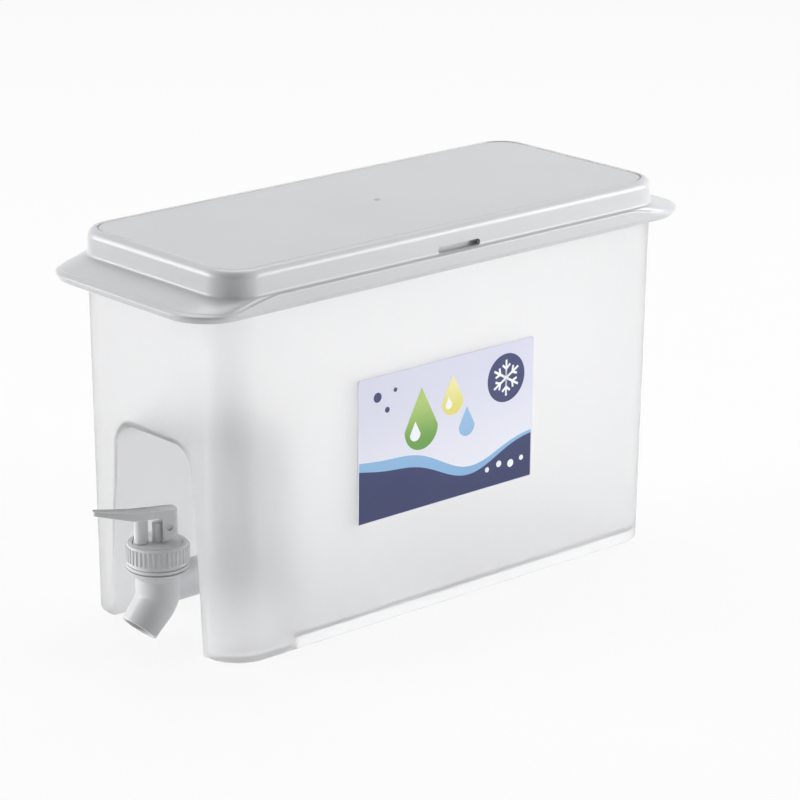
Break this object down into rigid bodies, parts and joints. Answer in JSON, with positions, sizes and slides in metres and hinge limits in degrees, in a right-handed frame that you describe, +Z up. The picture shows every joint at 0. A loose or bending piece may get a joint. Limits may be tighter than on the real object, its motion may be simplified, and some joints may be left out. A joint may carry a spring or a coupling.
{
  "type": "fridge water jug with tap",
  "caption": "Slim translucent fridge jug with a lift-off eared lid, an alcove in one end and a press tap whose lever also swivels.",
  "frame": {"origin": "centre of the bounding box's footprint, at the level the jug stands on", "axes": "+Z up, +Y along the jug away from the tap, +X towards the side with the label"},
  "size_m": [0.1094, 0.291, 0.17],
  "materials": {
    "container": "milky frosted translucent polypropylene",
    "lid": "translucent light grey polypropylene with a soft gloss",
    "label": null,
    "tap_body": "translucent white plastic",
    "bonnet": "translucent white plastic",
    "lever": "white plastic",
    "lever_pin": "white plastic pin",
    "stem": "white plastic",
    "slip_washer": "white plastic",
    "seat_plug": "translucent silicone",
    "spring": "stainless steel wire",
    "stem_seal": "translucent silicone",
    "bonnet_seal": "translucent silicone",
    "outer_gasket": "translucent silicone",
    "inner_gasket": "translucent silicone",
    "lock_nut": "white plastic"
  },
  "bodies": {
    "jug": {"container": "container", "label": "label", "tap_body": "tap_body", "bonnet": "bonnet", "bonnet_seal": "bonnet_seal", "stem_seal": "stem_seal", "outer_gasket": "outer_gasket", "inner_gasket": "inner_gasket", "lock_nut": "lock_nut", "spring": "spring"},
    "lid": {"lid": "lid"},
    "swivel": {"slip_washer": "slip_washer"},
    "stem": {"stem": "stem", "seat_plug": "seat_plug", "lever_pin": "lever_pin"},
    "lever": {"lever": "lever"}
  },
  "joints": [
    {"name": "lid_lift", "type": "slide", "parent": "jug", "child": "lid", "axis": [0, 0, 1], "range_m": [0, 0.06]},
    {"name": "lever_swivel", "type": "hinge", "parent": "jug", "child": "swivel", "pos_m": [0, -0.11976, 0.0427], "axis": [0, 0, 1], "range_deg": [-37, 83]},
    {"name": "stem_lift", "type": "slide", "parent": "swivel", "child": "stem", "axis": [0, 0, 1], "range_m": [0, 0.0025], "stiffness_N_per_m": 400, "springref_m": -0.0006, "deforming": ["spring"]},
    {"name": "lever_press", "type": "hinge", "parent": "stem", "child": "lever", "pos_m": [0.00176, -0.11562, 0.0497], "axis": [0.9205, -0.3907, 0], "range_deg": [0, 10]}
  ],
  "couplings": [
    {"joint": "lever_press", "follows": "stem_lift", "rad_per_m": 69.813}
  ]
}
